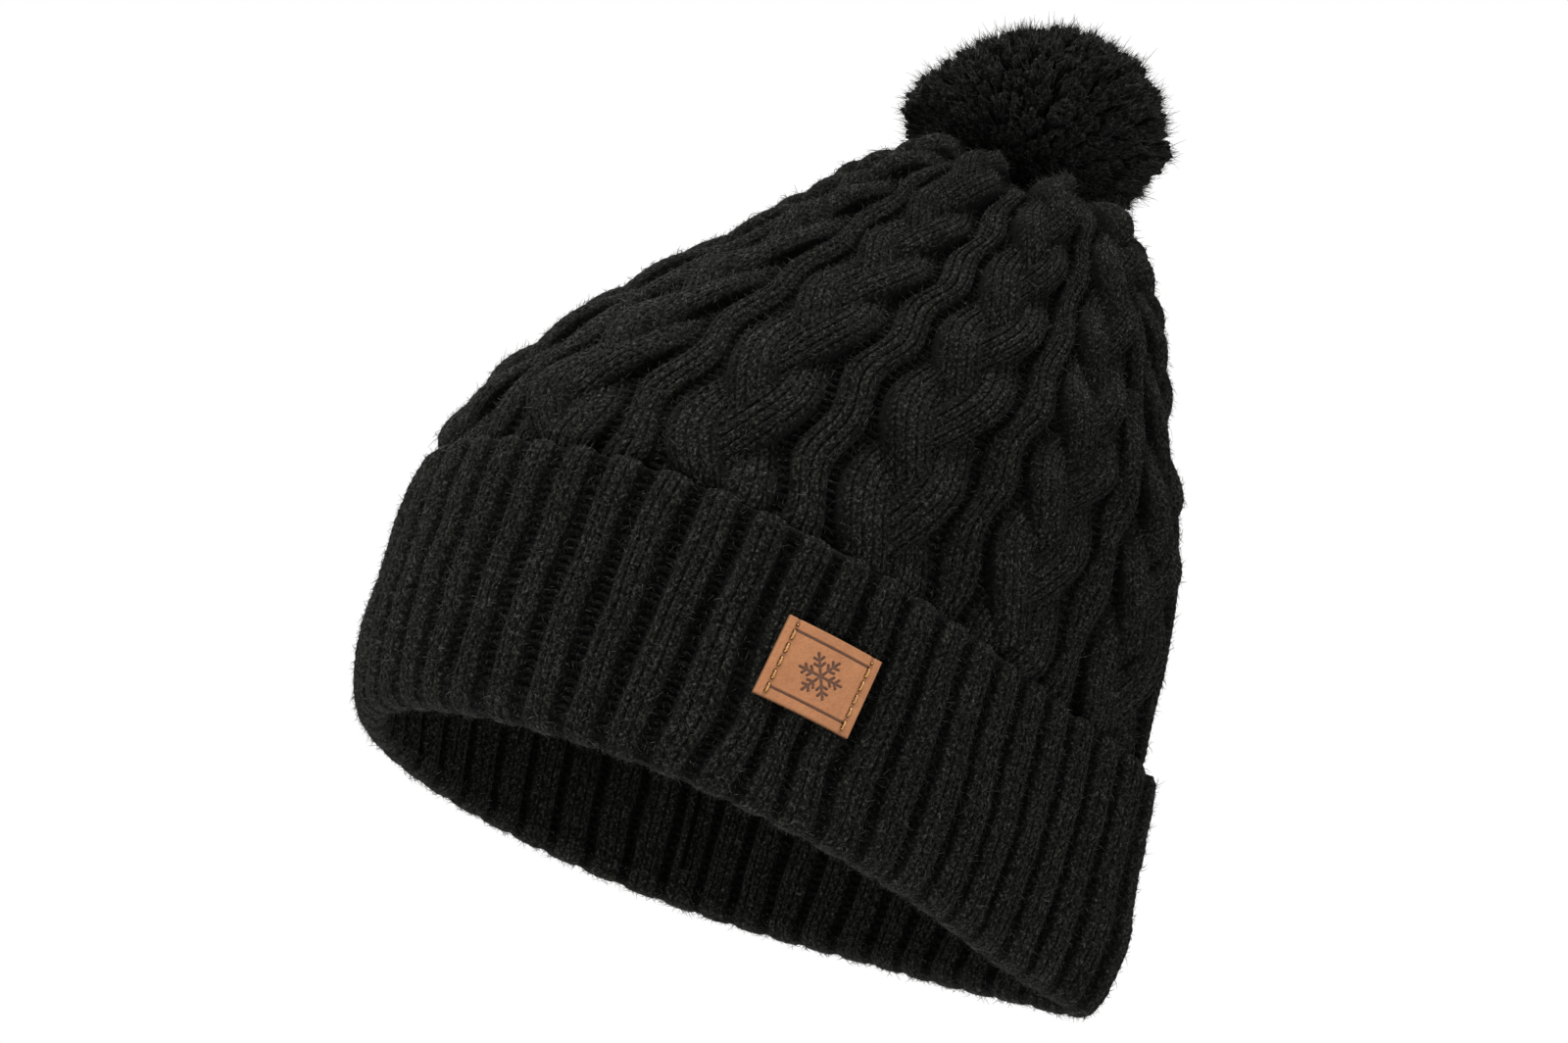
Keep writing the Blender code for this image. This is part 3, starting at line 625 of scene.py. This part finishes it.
def make_fuzz(name, points, directions, count, seed, reach_mm, skip=None):
    """Loose fibres: tapered hairs that leave the knit at random and lie close to it."""
    rng = np.random.default_rng(seed)
    rows, columns, _ = points.shape
    r = rng.integers(2, rows - 2, count)
    c = rng.integers(0, columns, count)
    start = points[r, c]
    normal = directions[r, c]
    if skip is not None:
        keep = ~skip(start)
        start, normal = start[keep], normal[keep]
    count = len(start)
    lean = rng.normal(size=(count, 3))
    lean -= (lean * normal).sum(axis=1, keepdims=True) * normal
    lean /= np.linalg.norm(lean, axis=1, keepdims=True)
    reach = reach_mm * rng.uniform(0.35, 1.0, count)[:, None]
    lift = rng.uniform(0.1, 0.7, count)[:, None]
    bend = rng.normal(size=(count, 3)) * 0.25
    first = start + (lean * 0.45 + normal * lift * 0.55 + bend * 0.3) * reach
    last = start + (lean * 0.95 + normal * lift * 0.75 + bend) * reach
    paths = np.stack([start - normal * 0.2, first, last], axis=1)
    radii = np.array([0.085, 0.07, 0.02]) * rng.uniform(0.6, 1.2, (count, 1))
    fuzz = tube_object(name, paths, radii, 3)
    paint(fuzz, "painted_shade_and_tone", np.repeat(rng.uniform(0.0, 1.0, count) ** 2.0, 11))
    return fuzz


# ---------------------------------------------------------------- patch, thread, pompom

def patch_points(across, heights, distance):
    """Points at a distance outside the form, for each height and length across the front."""
    rows = []
    for height in heights:
        level = outline(level_at(height))
        lean = PATCH_LEAN * (height - PATCH_Z_MM)
        point, out = along(level, length_at_x(level, PATCH_X_MM, -1) + lean + across)
        rows.append((point, out))
    points = np.array([r[0] for r in rows])
    faces = np.array([r[1] for r in rows])
    return points + faces * distance, faces


def snowflake(x, y):
    """The distance, in mm, from a six-armed snowflake's lines."""
    angle = np.arctan2(y, x)
    radius = np.hypot(x, y)
    folded = np.abs((angle + np.pi / 6.0) % (np.pi / 3.0) - np.pi / 6.0)
    along_arm = radius * np.cos(folded)
    off_arm = radius * np.sin(folded)
    arm = np.where(along_arm < 6.0, off_arm, np.hypot(along_arm - 6.0, off_arm))
    best = arm
    for start, length in ((2.4, 1.6), (4.0, 1.5)):
        dx, dy = math.cos(math.radians(55.0)), math.sin(math.radians(55.0))
        t = np.clip((along_arm - start) * dx + off_arm * dy, 0.0, length)
        best = np.minimum(best, np.hypot(along_arm - start - t * dx, off_arm - t * dy))
    return best


def patch_holes():
    """Where the needle holes are: across and up from the patch's middle, in mm."""
    rows = np.linspace(0.5 * PATCH_HEIGHT_MM - 1.6, -0.5 * PATCH_HEIGHT_MM + 1.6, PATCH_HOLES)
    return [(side * PATCH_SEAM_MM, z) for side in (-1.0, 1.0) for z in rows]


def patch_relief(x, z):
    """Height of the patch's face, the distance to its edge (mm), and how pressed and dark it is."""
    edge = np.minimum(0.5 * PATCH_WIDTH_MM - np.abs(x), 0.5 * PATCH_HEIGHT_MM - np.abs(z))
    rim = np.clip(1.0 - edge / 0.5, 0.0, 1.0)
    line = np.abs(np.abs(z) - 0.5 * PATCH_HEIGHT_MM + 3.0)
    line = np.where(np.abs(x) > PATCH_SEAM_MM, 9.0, line)
    pressed = smooth_step((0.5 - np.minimum(snowflake(x, z), line)) / 0.28)
    seam = np.exp(-((np.abs(x) - PATCH_SEAM_MM) / 0.45) ** 2)
    hole = np.min([np.hypot(x - hx, z - hz) for hx, hz in patch_holes()], axis=0)
    height = -0.5 * (1.0 - np.sqrt(1.0 - 0.98 * rim * rim)) - 0.4 * pressed - 0.42 * seam
    height = height - smooth_step((0.5 - hole) / 0.2)
    height = height + 0.05 * soft_noise(x * 1.6 + 40.0, z * 1.6 + 40.0, 41)
    height = height + 0.035 * soft_noise(x * 4.0 + 40.0, z * 4.0 + 40.0, 42)
    dark = np.maximum(smooth_step((0.72 - hole) / 0.4), 0.35 * seam)
    return height, edge, pressed, dark


def slab(front, back):
    """Points and quads of a closed sheet between a grid of front points and one of back points."""
    rows, columns, _ = front.shape
    index = np.arange(rows * columns).reshape(rows, columns)
    grid = np.stack([index[:-1, :-1], index[:-1, 1:], index[1:, 1:], index[1:, :-1]], axis=-1)
    grid = grid.reshape(-1, 4)
    border = np.concatenate([index[0, :], index[1:, -1], index[-1, -2::-1], index[-2:0:-1, 0]])
    behind = border + rows * columns
    skirt = np.stack([border, behind, np.roll(behind, -1), np.roll(border, -1)], axis=-1)
    quads = np.concatenate([grid, (grid + rows * columns)[:, ::-1], skirt])
    return np.concatenate([front, back]), quads


def make_patch():
    """The leather patch: rounded edges, debossed lines and snowflake, and its needle holes."""
    across = np.linspace(-0.5, 0.5, PATCH_COLUMNS) * PATCH_WIDTH_MM
    up = np.linspace(-0.5, 0.5, PATCH_ROWS) * PATCH_HEIGHT_MM
    height, edge, pressed, dark = patch_relief(*np.meshgrid(across, up))
    front, faces = patch_points(across, PATCH_Z_MM + up, PATCH_FACE_MM)
    front = front + faces * height[..., None]
    back, _ = patch_points(across, PATCH_Z_MM + up, PATCH_BACK_MM)
    patch = mesh_object("patch_leather", *slab(front, back))
    behind = np.zeros(height.size)
    paint(patch, "pressed", np.concatenate([pressed.ravel(), behind]))
    paint(patch, "edge", np.concatenate([np.exp(-edge / 0.3).ravel(), behind + 1.0]))
    paint(patch, "hole", np.concatenate([dark.ravel(), behind]))
    return patch


def make_patch_thread(name, side):
    """A running stitch of three-ply thread through one column of needle holes."""
    places = [(x, z) for x, z in patch_holes() if x * side > 0.0]
    path = []
    for index, (x, z) in enumerate(places):
        over, under = PATCH_FACE_MM + 0.12, PATCH_BACK_MM - 0.35
        for distance in ((over, under) if index % 2 == 0 else (under, over)):
            point, _ = patch_points(np.array([x]), [PATCH_Z_MM + z], distance)
            path.append(point[0, 0])
    path = evenly(path, 0.16)
    ahead = np.gradient(path, axis=0)
    ahead /= np.linalg.norm(ahead, axis=1, keepdims=True)
    helper = np.array([side * 1.0, 0.2, 0.1])
    across = np.cross(ahead, helper)
    across /= np.linalg.norm(across, axis=1, keepdims=True)
    lift = np.cross(across, ahead)
    turn = np.arange(len(path)) * 0.16 / 1.5 * 2.0 * np.pi
    plies = []
    for ply in range(3):
        angle = (turn + ply * 2.0 * np.pi / 3.0)[:, None]
        plies.append(path + 0.13 * (across * np.cos(angle) + lift * np.sin(angle)))
    plies = np.array(plies)
    return tube_object(name, plies, np.full(plies.shape[:2], 0.14), 7)


def pompom_reach(toward):
    """How far the pompom reaches from its middle: a leaning, flattened ball over a cone."""
    short = np.array((-math.sin(POMPOM_LEAN), 0.0, math.cos(POMPOM_LEAN)))
    share = (toward @ short) ** 2
    ball = 1.0 / np.sqrt(share / POMPOM_TALL_MM ** 2 + (1.0 - share) / POMPOM_WIDE_MM ** 2)
    fall = math.tan(POMPOM_SLOPE) * np.hypot(toward[..., 0], toward[..., 1]) - toward[..., 2]
    cone = (POMPOM_MIDDLE[2] - PIVOT[2] + 0.5) / np.maximum(fall, 1e-3)
    cone = np.minimum(cone, 200.0)
    return (ball ** -POMPOM_ROUND + cone ** -POMPOM_ROUND) ** (-1.0 / POMPOM_ROUND)


def on_ball(polar, turn):
    """Directions at angles from straight up and round the vertical."""
    level = np.sin(polar)
    return np.stack([level * np.cos(turn), level * np.sin(turn), np.cos(polar)], axis=-1)


def even_directions(count):
    """Directions spread evenly over a ball."""
    index = np.arange(count) + 0.5
    return on_ball(np.arccos(1.0 - 2.0 * index / count), np.pi * (1.0 + 5.0 ** 0.5) * index)


def make_pompom():
    """The pompom: clumps of yarn ends that stand out from its root, painted darker towards the root,
    over a core painted in the darkest shade.
    """
    rng = np.random.default_rng(51)
    toward = even_directions(POMPOM_TIPS) + rng.normal(0.0, 0.022, (POMPOM_TIPS, 3))
    toward /= np.linalg.norm(toward, axis=1, keepdims=True)
    clumps = even_directions(POMPOM_CLUMPS) + rng.normal(0.0, 0.05, (POMPOM_CLUMPS, 3))
    clumps /= np.linalg.norm(clumps, axis=1, keepdims=True)
    nearest = np.argmax(toward @ clumps.T, axis=1)
    longer = rng.normal(0.0, 0.028, POMPOM_CLUMPS)[nearest]
    x, y, z = toward.T
    lumps = 0.04 * np.sin(3.1 * x + 1.0) * np.sin(4.3 * z + 2.0 * y)
    lumps = lumps - 0.08 * np.exp((toward @ POMPOM_DENT - 1.0) / 0.03)
    tip = toward + 0.28 * (clumps[nearest] - toward)
    tip /= np.linalg.norm(tip, axis=1, keepdims=True)
    reach = pompom_reach(tip) * (0.985 + longer + lumps + rng.normal(0.0, 0.018, POMPOM_TIPS))
    bend = (STRAND_STEPS ** 3)[None, :, None]
    axis = toward[:, None, :] * (1.0 - bend) + tip[:, None, :] * bend
    away = POMPOM_MIDDLE - POMPOM_ROOT + axis * reach[:, None, None]
    paths = POMPOM_ROOT + away * STRAND_STEPS[None, :, None]
    paths = paths + rng.normal(0.0, 0.3, paths.shape)
    radii = STRAND_RADII_MM[None, :] * rng.uniform(0.8, 1.2, (POMPOM_TIPS, 1))
    points, quads, tris = tubes(paths, radii, 6)
    core, core_quads = pompom_core()
    quads = np.concatenate([quads, core_quads + len(points)])
    pompom = mesh_object("pompom_yarn_ends", np.concatenate([points, core]), quads, tris)
    # Painted shade: each strand darkens towards the root, and the core is painted in the darkest
    # shade.
    painted_shade_and_tone = np.tile(np.concatenate([np.repeat(STRAND_STEPS ** 6, 6), [0.0, 1.0]]), POMPOM_TIPS)
    paint(pompom, "painted_shade_and_tone", np.concatenate([painted_shade_and_tone, np.zeros(len(core))]))
    along_strand = away[:, -1] / np.linalg.norm(away[:, -1], axis=1, keepdims=True)
    return pompom, make_pompom_fibres(rng, along_strand, paths[:, -1])


def pompom_core():
    """An inner ball that closes the gaps between the strands."""
    rows, columns = 40, 80
    polar = np.linspace(0.02, np.pi - 0.02, rows)
    turn = np.arange(columns) / columns * 2.0 * np.pi
    toward = on_ball(*np.meshgrid(polar, turn, indexing="ij")).reshape(-1, 3)
    points = POMPOM_MIDDLE + toward * (0.8 * pompom_reach(toward))[:, None]
    return points, ring_quads(rows, columns, False)[:, ::-1]


def make_pompom_fibres(rng, tip, ends):
    """Fine fibres that splay from the yarn ends."""
    count = len(tip) * FIBRES_PER_TIP
    axis = np.repeat(tip, FIBRES_PER_TIP, axis=0)
    start = np.repeat(ends, FIBRES_PER_TIP, axis=0) - axis * 1.4 + rng.normal(size=(count, 3)) * 0.55
    end = start + (axis + rng.normal(size=(count, 3)) * 0.4) * rng.uniform(1.2, 3.2, count)[:, None]
    half = 0.5 * (start + end) + rng.normal(size=(count, 3)) * 0.25
    paths = np.stack([start, half, end], axis=1)
    fibres = tube_object("pompom_fibres", paths, np.broadcast_to((0.09, 0.07, 0.02), (count, 3)), 3)
    paint(fibres, "painted_shade_and_tone", np.repeat(rng.uniform(0.0, 1.0, count) ** 2.0, 11))
    return fibres


# ---------------------------------------------------------------- materials

def new_material(name):
    material = bpy.data.materials.new(name)
    material.use_nodes = True
    tree = material.node_tree
    return material, tree, tree.nodes["Principled BSDF"]


def add(tree, kind, **values):
    node = tree.nodes.new(kind)
    for key, value in values.items():
        setattr(node, key, value)
    return node


def noise(tree, vector, scale, detail=3.0, roughness=0.6):
    node = add(tree, "ShaderNodeTexNoise")
    node.inputs["Scale"].default_value = scale
    node.inputs["Detail"].default_value = detail
    node.inputs["Roughness"].default_value = roughness
    tree.links.new(vector, node.inputs["Vector"])
    return node.outputs["Fac"]


def ramp(tree, value, stops):
    node = add(tree, "ShaderNodeValToRGB")
    elements = node.color_ramp.elements
    while len(elements) < len(stops):
        elements.new(0.5)
    for element, (place, colour) in zip(elements, stops):
        element.position = place
        element.color = (*colour, 1.0)
    tree.links.new(value, node.inputs["Fac"])
    return node.outputs["Color"]


def mix(tree, factor, first, second, blend="MIX"):
    node = add(tree, "ShaderNodeMix", data_type="RGBA", blend_type=blend)
    sockets = (node.inputs["Factor"], node.inputs[6], node.inputs[7])
    for socket, value in zip(sockets, (factor, first, second)):
        if isinstance(value, (int, float)):
            socket.default_value = value
        elif isinstance(value, tuple):
            socket.default_value = (*value, 1.0)
        else:
            tree.links.new(value, socket)
    return node.outputs[2]


def bump(tree, height, distance, strength, normal=None):
    node = add(tree, "ShaderNodeBump")
    node.inputs["Distance"].default_value = distance
    node.inputs["Strength"].default_value = strength
    tree.links.new(height, node.inputs["Height"])
    if normal is not None:
        tree.links.new(normal, node.inputs["Normal"])
    return node.outputs["Normal"]


def wool(name, dark, mid, light):
    """Brushed melange yarn: dark and light fibres, painted shade between stitches, soft sheen."""
    material, tree, shader = new_material(name)
    place = add(tree, "ShaderNodeTexCoord").outputs["Object"]
    fibres = noise(tree, place, 1100.0, 4.0, 0.8)
    strands = noise(tree, place, 480.0, 3.0, 0.6)
    clouds = noise(tree, place, 45.0, 2.0, 0.5)
    colour = ramp(tree, fibres, ((0.35, dark), (0.51, mid), (0.70, light)))
    patches = ramp(tree, strands, ((0.35, (0.75, 0.75, 0.75)), (0.65, (1.2, 1.2, 1.2))))
    colour = mix(tree, 1.0, colour, patches, "MULTIPLY")
    painted_shade_and_tone = ramp(tree, clouds, ((0.3, (0.85, 0.85, 0.85)), (0.7, (1.12, 1.12, 1.12))))
    colour = mix(tree, 1.0, colour, painted_shade_and_tone, "MULTIPLY")
    # A point attribute scales the colour from 0.02 to 1.6 times: painted shade on the knit and the
    # pompom, a random brightness for each loose fibre.
    depth = add(tree, "ShaderNodeAttribute", attribute_name="painted_shade_and_tone").outputs["Fac"]
    shade = ramp(tree, depth, ((0.0, (0.02, 0.02, 0.02)), (1.0, (1.6, 1.6, 1.6))))
    colour = mix(tree, 1.0, colour, shade, "MULTIPLY")
    tree.links.new(colour, shader.inputs["Base Color"])
    shader.inputs["Roughness"].default_value = 0.9
    shader.inputs["Specular IOR Level"].default_value = 0.03
    shader.inputs["Sheen Weight"].default_value = 0.012
    shader.inputs["Sheen Roughness"].default_value = 0.5
    shader.inputs["Sheen Tint"].default_value = (0.9, 0.92, 0.95, 1.0)
    rough = bump(tree, strands, 0.0008, 0.8)
    rough = bump(tree, fibres, 0.0004, 0.9, rough)
    tree.links.new(rough, shader.inputs["Normal"])
    return material


def leather(name):
    """Tan leather: fine pebble grain, darker pressed lines, edges and needle holes."""
    material, tree, shader = new_material(name)
    place = add(tree, "ShaderNodeTexCoord").outputs["Object"]
    clouds = noise(tree, place, 160.0, 3.0, 0.6)
    specks = noise(tree, place, 1400.0, 3.0, 0.7)
    colour = ramp(tree, clouds, ((0.30, (0.216, 0.085, 0.033)), (0.55, (0.242, 0.100, 0.039)),
                                 (0.75, (0.264, 0.112, 0.045))))
    fleck = ramp(tree, specks, ((0.35, (0.90, 0.88, 0.86)), (0.6, (1.03, 1.03, 1.03))))
    colour = mix(tree, 1.0, colour, fleck, "MULTIPLY")
    pressed = add(tree, "ShaderNodeAttribute", attribute_name="pressed").outputs["Fac"]
    edge = add(tree, "ShaderNodeAttribute", attribute_name="edge").outputs["Fac"]
    hole = add(tree, "ShaderNodeAttribute", attribute_name="hole").outputs["Fac"]
    colour = mix(tree, pressed, colour, (0.075, 0.032, 0.017))
    colour = mix(tree, edge, colour, (0.17, 0.075, 0.032))
    colour = mix(tree, hole, colour, (0.030, 0.012, 0.005))
    tree.links.new(colour, shader.inputs["Base Color"])
    shader.inputs["Roughness"].default_value = 0.58
    shader.inputs["Specular IOR Level"].default_value = 0.25
    cells = add(tree, "ShaderNodeTexVoronoi", feature="SMOOTH_F1")
    cells.inputs["Scale"].default_value = 1500.0
    tree.links.new(place, cells.inputs["Vector"])
    grain = bump(tree, cells.outputs["Distance"], 0.0002, 0.35)
    grain = bump(tree, specks, 0.0001, 0.5, grain)
    tree.links.new(grain, shader.inputs["Normal"])
    return material


def thread(name, dark, light, rough):
    """Spun thread: streaks of two tones and a fine fibre bump."""
    material, tree, shader = new_material(name)
    place = add(tree, "ShaderNodeTexCoord").outputs["Object"]
    streak = noise(tree, place, 2200.0, 3.0, 0.7)
    tree.links.new(ramp(tree, streak, ((0.35, dark), (0.65, light))), shader.inputs["Base Color"])
    shader.inputs["Roughness"].default_value = rough
    shader.inputs["Sheen Weight"].default_value = 0.25
    tree.links.new(bump(tree, streak, 0.0001, 0.6), shader.inputs["Normal"])
    return material


def satin(name):
    """White woven label tape."""
    material, tree, shader = new_material(name)
    place = add(tree, "ShaderNodeTexCoord").outputs["Object"]
    weave = noise(tree, place, 3000.0, 2.0, 0.5)
    tree.links.new(ramp(tree, weave, ((0.3, (0.62, 0.62, 0.60)), (0.7, (0.78, 0.78, 0.76)))),
                   shader.inputs["Base Color"])
    shader.inputs["Roughness"].default_value = 0.42
    tree.links.new(bump(tree, weave, 0.0001, 0.4), shader.inputs["Normal"])
    return material


def dress(item, material):
    item.data.materials.clear()
    item.data.materials.append(material)


# ---------------------------------------------------------------- stage

def add_area_light(name, place, size, power, colour):
    data = bpy.data.lights.new(name, "AREA")
    data.shape = "DISK"
    data.size = size
    data.energy = power
    data.color = colour
    lamp = bpy.data.objects.new(name, data)
    bpy.context.scene.collection.objects.link(lamp)
    lamp.location = place
    aim = Vector((0.0, 0.0, 0.12)) - Vector(place)
    lamp.rotation_euler = aim.to_track_quat("-Z", "Y").to_euler()
    return lamp


def make_stage():
    """The pale floor far below, the white backdrop and the lights."""
    signs = ((-1.0, -1.0), (1.0, -1.0), (1.0, 1.0), (-1.0, 1.0))
    corners = [(x * FLOOR_HALF_MM, y * FLOOR_HALF_MM, FLOOR_Z_MM) for x, y in signs]
    floor = mesh_object("floor", corners, [(0, 1, 2, 3)], smooth=False)
    material, _, shader = new_material("pale_floor")
    shader.inputs["Base Color"].default_value = (0.82, 0.82, 0.82, 1.0)
    shader.inputs["Roughness"].default_value = 0.9
    dress(floor, material)
    world = bpy.data.worlds.new("studio")
    bpy.context.scene.world = world
    world.use_nodes = True
    backdrop = world.node_tree.nodes["Background"]
    backdrop.inputs["Color"].default_value = (1.0, 1.0, 1.0, 1.0)
    backdrop.inputs["Strength"].default_value = 1.0
    for light in LIGHTS:
        add_area_light(*light)


def make_camera():
    """The photo's camera, which looks up a little from below and is rolled."""
    data = bpy.data.cameras.new("camera")
    data.lens = CAMERA_LENS
    data.sensor_width = 36.0
    data.clip_start = 0.05
    camera = bpy.data.objects.new("camera", data)
    bpy.context.scene.collection.objects.link(camera)
    ahead = Vector((0.0, math.cos(CAMERA_PITCH), math.sin(CAMERA_PITCH)))
    level_up = Vector((0.0, -math.sin(CAMERA_PITCH), math.cos(CAMERA_PITCH)))
    level_right = Vector((1.0, 0.0, 0.0))
    up = math.cos(CAMERA_ROLL) * level_up - math.sin(CAMERA_ROLL) * level_right
    right = math.cos(CAMERA_ROLL) * level_right + math.sin(CAMERA_ROLL) * level_up
    turn = Matrix((right, up, -ahead)).transposed().to_4x4()
    camera.matrix_world = Matrix.Translation(CAMERA_AIM - CAMERA_DISTANCE * ahead) @ turn
    bpy.context.scene.camera = camera


# ---------------------------------------------------------------- the hat

def fit(item, material, body, slot, *nodes):
    """Dresses a piece and lets it ride on a body, in place of the CAD nodes named."""
    dress(item, material)
    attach(item, body)
    if nodes:
        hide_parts(*nodes)


def on_patch(points):
    return under_patch(points) > 0.8


def make_knit(yarn, fibre):
    """The crown, the band and the cuff, with their loose fibres."""
    crown, crown_points, crown_faces = make_crown()
    fit(crown, yarn, "knit_body", "knit_yarn", "crown_shell")
    fit(make_band(), yarn, "knit_body", "knit_yarn", "inner_band")
    cuff, cuff_points, cuff_faces = make_cuff()
    fit(cuff, yarn, "cuff", "knit_yarn", "turned_cuff")
    first = int(np.argmax(crown_points[:, 0, 2] > CUFF_TOP_MM))
    fuzz = make_fuzz("crown_fibres", crown_points[first:], crown_faces[first:], CROWN_FIBRES, 61, 2.6)
    fit(fuzz, fibre, "knit_body", "knit_yarn")
    fuzz = make_fuzz("cuff_fibres", cuff_points, cuff_faces, CUFF_FIBRES, 62, 2.4, on_patch)
    fit(fuzz, fibre, "cuff", "knit_yarn")


def make_hat():
    """Every piece of the hat in its material, and the CAD nodes that show."""
    black = wool("charcoal_wool", *CHARCOAL)
    fibre = wool("loose_fibre", *FIBRE)
    make_knit(black, fibre)
    fit(make_patch(), leather("tan_leather"), "cuff", "patch_leather", "leather_patch")
    gold = thread("patch_thread", *GOLD_THREAD, 0.5)
    for word, side in (("left", -1.0), ("right", 1.0)):
        stitches = make_patch_thread("stitches_" + word, side)
        fit(stitches, gold, "cuff", "patch_thread", "patch_thread_" + word)
    pompom, fibres = make_pompom()
    fit(pompom, wool("pompom_wool", *POMPOM_CHARCOAL), "pompom_ball", "pompom_yarn", "pompom")
    fit(fibres, fibre, "pompom_ball", "pompom_yarn")
    cord = thread("tie_yarn", *TIE_YARN, 0.85)
    nodes = frame["nodes"]
    for name in TIE_NODES:
        dress(nodes[name], cord)
    dress(nodes["back_seam"], black)
    dress(nodes["care_label"], satin("label_satin"))


make_camera()
make_stage()
make_hat()
bpy.context.scene.view_settings.view_transform = "Standard"
